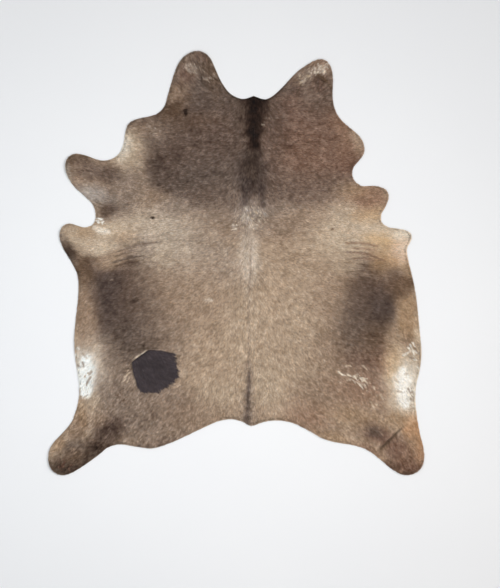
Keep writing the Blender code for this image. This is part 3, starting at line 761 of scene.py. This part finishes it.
def surface_heights(field, bm, ray_from=0.1, rings_past_edge=5):
    """Height of the hair's surface under each grid point, carried a little past the edge."""
    tree = BVHTree.FromBMesh(bm)
    down = Vector((0, 0, -1))
    height = np.full(len(field.points), np.nan)
    for k, (x, y) in enumerate(field.points):
        hit = tree.ray_cast(Vector((x, y, ray_from)), down)[0]
        if hit is not None:
            height[k] = hit.z
    height = height.reshape(field.count)
    for _ in range(rings_past_edge):
        near = np.stack([np.roll(height, step, axis) for axis in (0, 1) for step in (-1, 1)])
        known = ~np.isnan(near)
        mean = np.where(known, near, 0).sum(0) / np.maximum(known.sum(0), 1)
        height = np.where(np.isnan(height) & known.any(0), mean, height)
    return np.nan_to_num(height, nan=0.0).ravel()


def mesh_of(bm, name, *materials):
    mesh = bpy.data.meshes.new(name)
    bm.to_mesh(mesh)
    for material in materials:
        mesh.materials.append(material)
    return mesh


def new_object(name, data):
    made = bpy.data.objects.new(name, data)
    bpy.context.scene.collection.objects.link(made)
    return made


def dress_skin(node, cuts, relief):
    """A finer copy of a CAD node: its hair side smoothed, with slight unevenness."""
    bm = merged(node)
    bmesh.ops.subdivide_edges(bm, edges=bm.edges, cuts=cuts, use_grid_fill=True)
    bm.normal_update()
    top = [vert for vert in bm.verts if vert.normal.z > 0.5]
    for _ in range(SMOOTHING_PASSES):
        bmesh.ops.smooth_vert(bm, verts=top, factor=0.5, use_axis_z=True)
    places = np.array([vert.co[:2] for vert in top]) / MM
    uneven = relief * layered(places, RELIEFS)
    for vert, step in zip(top, uneven):
        vert.co.z += step * MM
    return bm


def side_of(face):
    """Which of SIDES a face of a skin shows."""
    if face.normal.z < UNDERSIDE:
        return 2
    return 0 if face.normal.z > HAIR_SIDE else 1


def finish_skin(bm, name):
    """The piece of a skin, with a material for each side, and the places of its points in mm."""
    bm.normal_update()
    for face in bm.faces:
        face.smooth = True
        face.material_index = side_of(face)
    mesh = mesh_of(bm, name, *SIDES)
    places = np.empty(3 * len(mesh.vertices), np.float32)
    mesh.vertices.foreach_get("co", places)
    return new_object(name, mesh), places.reshape(-1, 3)[:, :2].astype(float) / MM


def store_colours(mesh, srgb, lift=1.0):
    colours = np.ones((len(srgb), 4), np.float32)
    colours[:, :3] = linear(srgb) * lift
    layer = mesh.attributes.new("coat", "FLOAT_COLOR", "POINT")
    layer.data.foreach_set("color", colours.ravel())


def lay_locks(name, root, heading, length, width, height, droop, colour, grain, seed):
    """One mesh of locks that lie on the skin. Each is a slim roof of two faces, from its root to its tip."""
    rng = np.random.default_rng(seed)
    count = len(root)
    across = np.stack([-heading[:, 1], heading[:, 0]], axis=1)
    middle = root + heading * (LOCK_WAIST * length)[:, None]
    half = (0.5 * width)[:, None]
    tip = root + heading * length[:, None]
    spots = np.stack([root, middle + across * half, tip, middle - across * half], axis=1)
    points = np.zeros((count, 4, 3), np.float32)
    points[:, :, :2] = spots
    ground = height(spots.reshape(-1, 2)).reshape(count, 4)
    roll = rng.uniform(-0.5, 0.5, count) * width
    rise = LOCK_RISE * rng.uniform(0.6, 1.5, count)
    points[:, 0, 2] = ground[:, 0] + 0.3 * rise
    points[:, 1, 2] = ground[:, 1] - 0.4 * rise + 0.5 * roll
    points[:, 2, 2] = ground[:, 2] + rise * rng.uniform(0.7, 1.9, count) - droop
    points[:, 3, 2] = ground[:, 3] - 0.4 * rise - 0.5 * roll
    points[:, :, 2] = np.maximum(points[:, :, 2], 0.3 * MM)

    faces = 4 * np.arange(count)[:, None, None] + np.array(LOCK_SPLIT)
    mesh = bpy.data.meshes.new(name)
    mesh.vertices.add(4 * count)
    mesh.vertices.foreach_set("co", points.ravel())
    mesh.loops.add(6 * count)
    mesh.loops.foreach_set("vertex_index", faces.ravel())
    mesh.polygons.add(2 * count)
    mesh.polygons.foreach_set("loop_start", np.arange(0, 6 * count, 3))
    mesh.update(calc_edges=True)

    marked = np.broadcast_to(grain, count)[:, None, None]
    tone = 1 + TONE_SPREAD * marked * rng.standard_normal((count, 1, 1))
    warmth = 1 + WARMTH_SPREAD * rng.standard_normal((count, 1, 1)) * np.array([1.0, 0.0, -1.2])
    # painted shade at the root of each lock, and a lighter tip
    ends = 1 + marked * np.array(END_TONES)[None, :, None]
    store_colours(mesh, (colour[:, None] * tone * warmth * ends).reshape(-1, 3), HAIR_LIFT)

    # a lock's own map for its strands, and one with a place of its own for each lock
    corner = np.tile(LOCK_SPLIT, (count, 1, 1)).ravel()
    strand = np.array([[0.5, 0.0], [0.0, LOCK_WAIST], [0.5, 1.0], [1.0, LOCK_WAIST]])[corner]
    lock = np.repeat(np.arange(count), 6)
    side = math.ceil(math.sqrt(count))
    cell = np.stack([lock % side, lock // side], axis=1)
    for layer, places in (("strand", strand + rng.uniform(0, 40, (count, 2))[lock]),
                          ("OFBake", (cell + 0.15 + 0.7 * strand) / side)):
        mesh.uv_layers.new(name=layer).uv.foreach_set("vector", places.astype(np.float32).ravel())
    mesh.materials.append(HAIR)
    return new_object(name, mesh)


# materials
NOISE_SPAN = {"From Min": 0.3, "From Max": 0.7}  # a noise seldom goes past these


def join(tree, node, links):
    """Links sockets, or the first output of nodes, to the inputs of a node."""
    for key, source in links.items():
        tree.links.new(source.outputs[0] if hasattr(source, "outputs") else source, node.inputs[key])


def add(tree, kind, settings=None, links=None):
    """One node with its properties, socket values and incoming links."""
    node = tree.nodes.new("ShaderNode" + kind)
    for key, value in (settings or {}).items():
        if hasattr(node, key):
            setattr(node, key, value)
        else:
            node.inputs[key].default_value = value
    join(tree, node, links or {})
    return node


def set_stops(ramp, *stops):
    """The places and hex colours along a ramp."""
    elements = ramp.color_ramp.elements
    for k, (place, shade) in enumerate(stops):
        element = elements[k] if k < 2 else elements.new(place)
        element.position, element.color = place, linear_rgba(shade)


def new_material(name, roughness, settings):
    material = bpy.data.materials.new(name)
    material.use_nodes = True
    tree = material.node_tree
    shader = tree.nodes["Principled BSDF"]
    for key, value in {"Roughness": roughness, **settings}.items():
        shader.inputs[key].default_value = value
    return material, tree, shader


def coat_times(tree, pattern, low, high):
    """The coat's own colour, darker and lighter between two factors by a pattern."""
    coat = add(tree, "Attribute", {"attribute_name": "coat"})
    tone = add(tree, "MapRange", {**NOISE_SPAN, "To Min": low, "To Max": high}, {"Value": pattern})
    return add(tree, "VectorMath", {"operation": "MULTIPLY"}, {0: coat, 1: tone})


def short_hair():
    """Glossy short cattle hair: satin, with fine dark and light strands along each lock."""
    material, tree, shader = new_material("short_cattle_hair", 0.6, {"Specular IOR Level": 0.15})
    strand = add(tree, "UVMap", {"uv_map": "strand"})
    # a lock is 2.2 mm wide and a hair 0.15 mm, drawn at 0.4 mm so that it shows
    stretch = add(tree, "Mapping", {"Scale": (5.5, 0.9, 1.0)}, {"Vector": strand})
    hairs = add(tree, "TexNoise", {"noise_dimensions": "2D", "Scale": 1.0, "Detail": 2.0}, {"Vector": stretch})
    rough = add(tree, "MapRange", {**NOISE_SPAN, "To Min": 0.68, "To Max": 0.52}, {"Value": hairs})
    bump = add(tree, "Bump", {"Strength": 0.5, "Distance": 0.15 * MM}, {"Height": hairs})
    join(tree, shader, {"Base Color": coat_times(tree, hairs, 0.86, 1.12), "Roughness": rough, "Normal": bump})
    return material


def hair_ground():
    """The roots under the locks: the same coat colour, darkened as painted shade under the locks, matt, with a
    fine grain.
    """
    material, tree, shader = new_material("hair_roots_on_grain", 0.8, {"Specular IOR Level": 0.2})
    place = add(tree, "TexCoord").outputs["Object"]
    grain = add(tree, "TexNoise", {"Scale": 1 / (2.5 * MM), "Detail": 3.0}, {"Vector": place})
    bump = add(tree, "Bump", {"Strength": 0.8, "Distance": 0.5 * MM}, {"Height": grain})
    # the coat colour is darkened to between 0.55 and 0.95 of itself: painted shade among the roots, mottled by
    # the grain
    join(tree, shader, {"Base Color": coat_times(tree, grain, 0.55, 0.95), "Normal": bump})
    return material


def suede():
    """Chrome-tanned flesh side: pale beige, split and buffed, with a soft nap and faint vein marks."""
    material, tree, shader = new_material("buffed_flesh_side_suede", 0.92, {
        "Specular IOR Level": 0.15, "Sheen Weight": 0.25, "Sheen Roughness": 0.6})
    place = add(tree, "TexCoord").outputs["Object"]
    # soft strokes of the buffing wheel, about 40 mm wide, run from neck to rump
    wheel = add(tree, "Mapping", {"Scale": (1 / (40 * MM), 1 / (130 * MM), 1.0)}, {"Vector": place})
    strokes = add(tree, "TexNoise", {"Scale": 1.0, "Detail": 5.0, "Roughness": 0.55, "Distortion": 0.8},
                  {"Vector": wheel})
    ramp = add(tree, "ValToRGB", None, {"Fac": strokes})
    set_stops(ramp, (0.25, "#c4b49c"), (0.75, "#dccfb9"))
    # veins: thin soft lines, where a noise of 150 mm passes its middle
    broad = add(tree, "TexNoise", {"Scale": 1 / (150 * MM), "Detail": 2.0, "Roughness": 0.5}, {"Vector": place})
    vein = add(tree, "ValToRGB", None, {"Fac": broad})
    set_stops(vein, (0.49, "#ffffff"), (0.51, "#ffffff"), (0.5, "#f1ece6"))
    colour = add(tree, "VectorMath", {"operation": "MULTIPLY"}, {0: ramp, 1: vein})
    nap = add(tree, "TexNoise", {"Scale": 1 / (1.6 * MM), "Detail": 4.0}, {"Vector": place})
    bump = add(tree, "Bump", {"Strength": 0.7, "Distance": 0.4 * MM}, {"Height": nap})
    join(tree, shader, {"Base Color": colour, "Normal": bump})
    return material


def leather_edge():
    """The knife-cut edge of the leather: fibrous, with paler streaks along the cut."""
    material, tree, shader = new_material("knife_cut_leather_edge", 0.85, {"Specular IOR Level": 0.25})
    place = add(tree, "TexCoord").outputs["Object"]
    # fibres about 8 mm long and 0.7 mm thick
    layers = add(tree, "Mapping", {"Scale": (120.0, 120.0, 1500.0)}, {"Vector": place})
    fibre = add(tree, "TexNoise", {"Scale": 1.0, "Detail": 3.0}, {"Vector": layers})
    ramp = add(tree, "ValToRGB", None, {"Fac": fibre})
    set_stops(ramp, (0.3, "#8f7b66"), (0.7, "#c2b096"))
    bump = add(tree, "Bump", {"Strength": 0.6, "Distance": 0.2 * MM}, {"Height": fibre})
    join(tree, shader, {"Base Color": ramp, "Normal": bump})
    return material


def waxed_thread():
    """Waxed polyester thread: twisted, off-white, slightly glossy."""
    material, tree, shader = new_material("waxed_polyester_thread", 0.5, {"Specular IOR Level": 0.4})
    place = add(tree, "TexCoord").outputs["Object"]
    twist = add(tree, "TexWave", {"wave_type": "BANDS", "bands_direction": "DIAGONAL",
                                  "Scale": 1 / (4.0 * MM), "Distortion": 0.6}, {"Vector": place})
    ramp = add(tree, "ValToRGB", None, {"Fac": twist.outputs["Fac"]})
    set_stops(ramp, (0, "#a99a82"), (1, "#dfd4bf"))
    join(tree, shader, {"Base Color": ramp})
    return material


def pale_floor():
    """A white painted floor board: matt paint, very slightly mottled."""
    material, tree, shader = new_material("matt_white_paint", 0.7, {"Specular IOR Level": 0.2})
    place = add(tree, "TexCoord").outputs["Object"]
    shade = add(tree, "TexNoise", {"Scale": 1.2, "Detail": 3.0}, {"Vector": place})
    ramp = add(tree, "ValToRGB", None, {"Fac": shade})
    set_stops(ramp, (0, "#ebeef3"), (1, "#eff2f6"))
    join(tree, shader, {"Base Color": ramp})
    return material


# the skins
HAIR = short_hair()
SIDES = [hair_ground(), leather_edge(), suede()]

skin_bm = dress_skin("hide", HIDE_CUTS, HIDE_RELIEF)
outline, seam = cut_edges(merged("hide"))[:2]
patch_ring = cut_edges(merged("patch"))[0]
skin_area = signed_area(outline) - signed_area(seam)

low, high = (np.array(corner)[:2] for corner in cad_box)
field = Field(low - FIELD_MARGIN, high + FIELD_MARGIN, FIELD_CELL)
top_height = surface_heights(field, skin_bm)
edge_distance = ring_distance(field.points, outline)

hide_skin, skin_places = finish_skin(skin_bm, "hide_skin")
# the skin under the hide's locks is darkened as painted shade
store_colours(hide_skin.data, coat_colour(skin_places, heading_at(skin_places)) * HIDE_ROOT_SHADOW)

patch_skin, patch_places = finish_skin(dress_skin("patch", PATCH_CUTS, PATCH_RELIEF), "patch_skin")
# the skin under the repair's locks is darkened as painted shade
store_colours(patch_skin.data, np.tile(hex_rgb(PATCH_SHADE) * PATCH_ROOT_SHADOW, (len(patch_places), 1)))


# the hair
def hide_height(points):
    return field.read(top_height, points)


def past_edge(points):
    """How far points lie past the cut edge, in metres: below 0 on the skin."""
    return -field.read(edge_distance, points)


def tips(roots, heading, length):
    return roots + heading * length[:, None]


def hang(points, most):
    """How far the tips of the locks hang down past the cut edge."""
    return np.clip(past_edge(points) / RIM_OVERHANG, 0, 1) * most


def scatter(low, high, spacing, seed):
    """Points on a jittered grid."""
    rng = np.random.default_rng(seed)
    x, y = (np.arange(low[k], high[k], spacing) for k in (0, 1))
    points = np.stack(np.meshgrid(x, y), axis=2).reshape(-1, 2)
    return points + rng.uniform(-0.5, 0.5, points.shape) * spacing


def swirl(heading, points, seed, fine=6, broad=5):
    """The lie of the hair with small clumps that lean to one side, by these angles in degrees."""
    rng = np.random.default_rng(seed)
    lean = np.radians(fine * cloud(points, 9, seed) + broad * cloud(points, 32, seed + 1)
                      + 4 * rng.standard_normal(len(points)))
    c, s = np.cos(lean), np.sin(lean)
    return np.stack([heading[:, 0] * c - heading[:, 1] * s, heading[:, 0] * s + heading[:, 1] * c], axis=1)


def lock_sizes(count, seed):
    rng = np.random.default_rng(seed)
    return LOCK_LENGTH * rng.uniform(0.7, 1.3, count), LOCK_WIDTH * rng.uniform(0.7, 1.35, count)


def hide_hair():
    """The short pile of the hide, in four meshes from the neck to the rump."""
    roots = scatter(low, high, math.sqrt(skin_area / LOCKS_HIDE), 5)
    in_seam = ring_distance(roots, seam) > 0
    roots = roots[(past_edge(roots) < -HIDE_CLEAR) & ~in_seam]
    heading = swirl(heading_at(roots / MM), roots / MM, 101)
    length, width = lock_sizes(len(roots), 7)
    # a lock that would reach past the cut edge is trimmed with it
    for share in (0.4, 0.7, 1.0):
        past = past_edge(tips(roots, heading, share * length)) > RIM_OVERHANG
        length = np.where(past, length * (0.85 * share), length)
    colour, grain = coat_colour(roots / MM, heading), grain_at(roots / MM)
    droop = hang(tips(roots, heading, length), HIDE_DROOP)
    order = np.argsort(-roots[:, 1], kind="stable")
    names = ("hair_neck", "hair_shoulders", "hair_flanks", "hair_rump")
    return [lay_locks(name, roots[part], heading[part], length[part], width[part], hide_height,
                      droop[part], colour[part], grain[part], 300 + k)
            for k, (name, part) in enumerate(zip(names, np.array_split(order, len(names))))]


def rim_hair():
    """Locks rooted along the cut edge, which lean outwards over it and hide the leather."""
    around, at = walk(outline)
    rng = np.random.default_rng(17)
    places = np.arange(0, around, RIM_SPACING)
    places = places + rng.uniform(-0.5, 0.5, len(places)) * RIM_SPACING
    edge = at(np.clip(places, 0, around))
    run = unit(at(places + 10 * MM) - edge)
    outwards = np.stack([run[:, 1], -run[:, 0]], axis=1)
    heading = unit(heading_at(edge / MM) + 0.55 * outwards)
    # where the hair lies inwards, it is combed out and back along the edge
    inwards = (heading * outwards).sum(1) < 0.15
    heading = unit(np.where(inwards[:, None], 0.8 * outwards + 0.6 * run, heading))
    heading = swirl(heading, edge / MM, 113)
    roots = edge - outwards * rng.uniform(2.5, 8.0, len(edge))[:, None] * MM
    length, width = lock_sizes(len(roots), 19)
    for _ in range(8):
        past = past_edge(tips(roots, heading, length)) > RIM_OVERHANG * rng.uniform(0.2, 1.0, len(roots))
        length = np.where(past, length * 0.82, length)
    # the hair at the cut edge is darkened as painted shade where it rounds over the edge
    return lay_locks("hair_rim", roots, heading, length, width * 0.85, hide_height,
                     hang(tips(roots, heading, length), RIM_DROOP),
                     coat_colour(roots / MM, heading) * RIM_SHADOW, 1.0, 23)


def patch_hair():
    """The pile of the repair piece, which fans out in pointed tufts that stand out past the seam."""
    spacing = math.sqrt(signed_area(patch_ring) / LOCKS_PATCH)
    roots = scatter(patch_ring.min(0)[:2], patch_ring.max(0)[:2], spacing, 29)
    roots = roots[ring_distance(roots, patch_ring) > PATCH_CLEAR]
    mm = roots / MM
    fan = mm - PATCH_FAN
    heading = swirl(unit(fan), mm, 131, fine=16, broad=10)
    length, width = lock_sizes(len(roots), 31)
    across = np.degrees(np.arctan2(fan[:, 1], fan[:, 0])) / TUFT_TURN + 0.5 * cloud(mm, 25, 133)
    length *= 0.75 + 1.3 * (1 - np.abs(2 * (across % 1) - 1))
    shade = 1 + 0.10 * cloud(mm, 22, 141) + 0.12 * cloud(mm, 7, 142)
    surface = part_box("patch")[1].z + 0.6 * MM
    return lay_locks("hair_patch", roots, heading, length, width,
                     lambda points: np.full(len(points), surface), 0.0,
                     hex_rgb(PATCH_SHADE) * shade[:, None], 1.0, 37)


def seam_stitches():
    """Whip stitches over the seam, on the flesh side, half sunk in the soft leather."""
    around, at = walk(patch_ring)
    count = round(around / STITCH_PITCH)
    places = around * np.arange(count) / count
    run = unit(at(places + 2 * MM) - at(places))
    slant = unit(np.stack([run[:, 1], -run[:, 0]], axis=1) + STITCH_SLANT * run)
    bm = bmesh.new()
    for here, aim in zip(at(places), slant):
        stem = bmesh.ops.create_cone(bm, cap_ends=True, segments=6, depth=STITCH_LENGTH,
                                     radius1=0.5 * THREAD, radius2=0.5 * THREAD)["verts"]
        laid = Vector((0, 0, 1)).rotation_difference(Vector((*aim, 0)))
        bmesh.ops.rotate(bm, verts=stem, cent=(0, 0, 0), matrix=laid.to_matrix())
        bmesh.ops.translate(bm, verts=stem, vec=(*here, 0))
    mesh = mesh_of(bm, "seam_thread", waxed_thread())
    mesh.shade_smooth()
    return new_object("seam_thread", mesh)


hair_pieces = hide_hair()
rim = rim_hair()
dark_hair = patch_hair()
thread = seam_stitches()

# stage
floor_bm = bmesh.new()
bmesh.ops.create_circle(floor_bm, cap_ends=True, segments=64, radius=60.0)
bmesh.ops.translate(floor_bm, verts=floor_bm.verts, vec=(0, 0, -0.5 * MM))
floor = new_object("studio_floor", mesh_of(floor_bm, "studio_floor", pale_floor()))

# what rides, and what it replaces
for piece in [hide_skin, patch_skin, rim, dark_hair, thread, *hair_pieces]:
    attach(piece, "root")
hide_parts("hide")
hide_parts("patch")
signed_area(patch_ring)

# light: a bright even room, a wide sun-like panel on the right, a softbox that hangs over the skin,
# and window light on the left against lamp light on the right
SHELL_WHITE = (1.0, 0.98, 0.955)
WINDOW_BLUE = (0.72, 0.88, 1.0)
LAMP_AMBER = (1.0, 0.80, 0.62)
ROOM_STRENGTH = 0.42
world = bpy.data.worlds.new("studio")
world.use_nodes = True
room = world.node_tree.nodes["Background"]
room.inputs["Color"].default_value = (*SHELL_WHITE, 1.0)
room.inputs["Strength"].default_value = ROOM_STRENGTH
bpy.context.scene.world = world


def lamp(kind, name, place, aim, energy, colour=SHELL_WHITE):
    light = bpy.data.lights.new(name, kind)
    light.energy, light.color = energy, colour
    lit = new_object(name, light)
    lit.location = place
    lit.rotation_euler = (Vector(aim) - Vector(place)).to_track_quat("-Z", "Y").to_euler()
    lit.visible_camera = False
    return light


lamp("SUN", "right_panel", (5.0, 0.8, 4.0), (0.0, 0.0, 0.0), 1.3).angle = math.radians(35)
lamp("AREA", "overhead_softbox", (0.05, -0.3, 2.5), (0.05, -0.3, 0.0), 31.0).size = 2.0
lamp("AREA", "left_window", (-2.4, -0.3, 1.8), (-1.0, -0.3, 0.0), 5.0, WINDOW_BLUE).size = 1.6
lamp("AREA", "right_lamp", (2.4, -1.3, 1.8), (1.0, -0.8, 0.0), 4.0, LAMP_AMBER).size = 1.6

# camera: straight above, the picture's height is 2.94 m of floor
FRAME_HEIGHT = 2.94
FRAME_MIDDLE = (0.068, -0.1535)
camera_data = bpy.data.cameras.new("above")
camera_data.type = "PERSP"
camera_data.sensor_width = 36.0
camera_data.lens = 85.0
camera = new_object("above", camera_data)
camera.location = (*FRAME_MIDDLE, FRAME_HEIGHT * camera_data.lens / camera_data.sensor_width)
bpy.context.scene.camera = camera
bpy.context.scene.view_settings.view_transform = "Standard"
